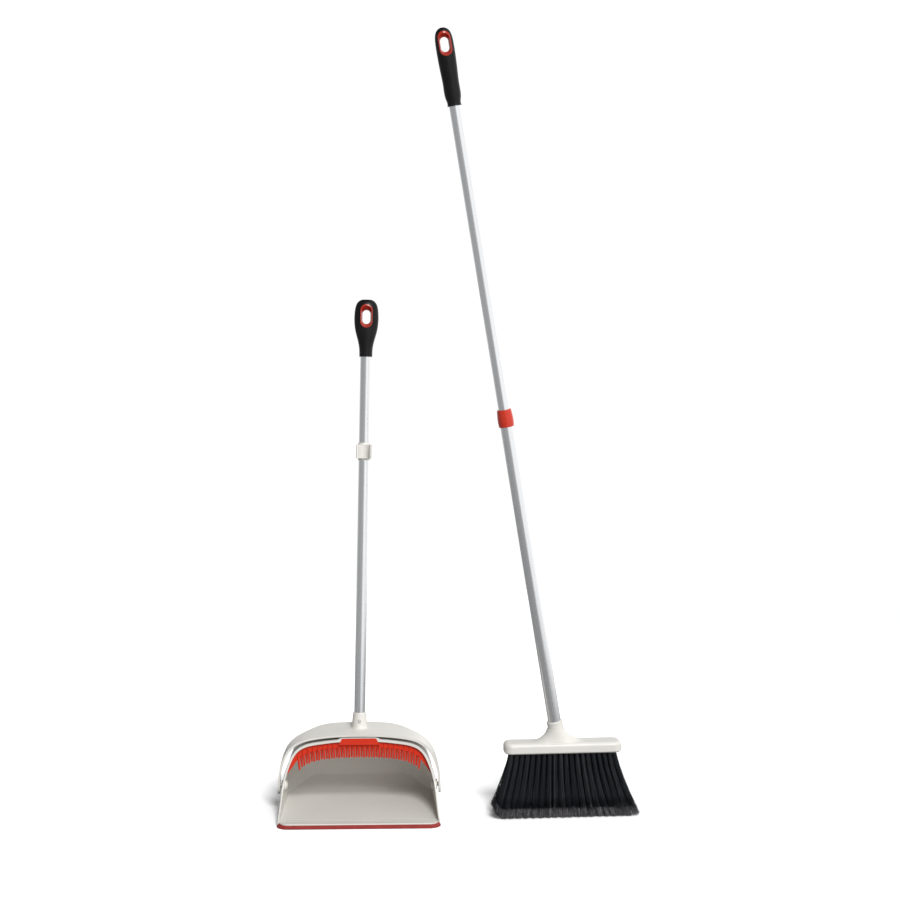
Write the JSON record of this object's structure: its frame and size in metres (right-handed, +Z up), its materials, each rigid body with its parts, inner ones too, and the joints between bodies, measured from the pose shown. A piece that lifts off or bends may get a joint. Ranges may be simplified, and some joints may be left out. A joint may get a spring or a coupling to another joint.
{
  "type": "dustpan and brush",
  "caption": "Upright lobby dustpan with a swinging pole handle and bristle comb, and a telescoping broom with a twist-lock collar, standing side by side.",
  "frame": {"origin": "on the floor at the centre of the flat underside of the pan, halfway across its width", "axes": "+Z up; -Y out of the pan's mouth, toward the rubber lip; +X from the pan toward the broom"},
  "size_m": [0.6388, 0.2482, 1.3654],
  "materials": {
    "shell_plastic": "off-white moulded plastic, satin",
    "block_plastic": "dark moulded plastic, matte",
    "comb_plastic": "red moulded plastic, satin",
    "insert_plastic": "red moulded plastic, glossy",
    "collar_plastic": "red moulded plastic, semi-gloss",
    "button_plastic": "pale grey moulded plastic",
    "lip_rubber": "red soft rubber, matte",
    "grip_rubber": "black soft-touch rubber",
    "tube_aluminium": "drawn tube, clear anodised, satin",
    "bristle_fibre": "black synthetic bristle with flagged grey tips"
  },
  "bodies": {
    "pan": {"pan_body": "shell_plastic", "front_lip": "lip_rubber", "bristle_comb": "comb_plastic"},
    "handle": {"yoke": "shell_plastic", "pivot_pin_left": "shell_plastic", "pivot_pin_right": "shell_plastic", "pan_tube_lower": "tube_aluminium", "pan_tube_upper": "tube_aluminium", "tube_spigot": "button_plastic", "tube_connector": "shell_plastic", "pan_grip_core": "insert_plastic", "pan_grip_sleeve": "grip_rubber"},
    "button": {"snap_button": "button_plastic"},
    "broom": {"head_cover": "shell_plastic", "bristle_block": "block_plastic", "tuft_row_1": "bristle_fibre", "tuft_row_2": "bristle_fibre", "tuft_row_3": "bristle_fibre", "tuft_row_4": "bristle_fibre", "broom_tube_lower": "tube_aluminium", "lock_sleeve": "button_plastic"},
    "collar": {"lock_collar": "collar_plastic"},
    "extension": {"broom_tube_upper": "tube_aluminium", "guide_plug": "button_plastic", "broom_grip_core": "insert_plastic", "broom_grip_sleeve": "grip_rubber"}
  },
  "joints": [
    {"name": "yoke_swing", "type": "hinge", "parent": "pan", "child": "handle", "pos_m": [0, -0.014, 0.046], "axis": [1, 0, 0], "range_deg": [0, 65]},
    {"name": "button_press", "type": "slide", "parent": "handle", "child": "button", "axis": [-0.0026, 0.9925, -0.1218], "range_m": [0, 0.0042], "stiffness_N_per_m": 600},
    {"name": "broom_lift", "type": "slide", "parent": "pan", "child": "broom", "axis": [0, 0, 1], "range_m": [0, 0.2]},
    {"name": "collar_twist", "type": "hinge", "parent": "broom", "child": "collar", "pos_m": [0.25539, -0.04707, 0.70454], "axis": [-0.1631, -0.0091, 0.9866], "range_deg": [0, 120]},
    {"name": "pole_extend", "type": "slide", "parent": "broom", "child": "extension", "axis": [-0.1631, -0.0091, 0.9866], "range_m": [-0.42, 0]}
  ]
}
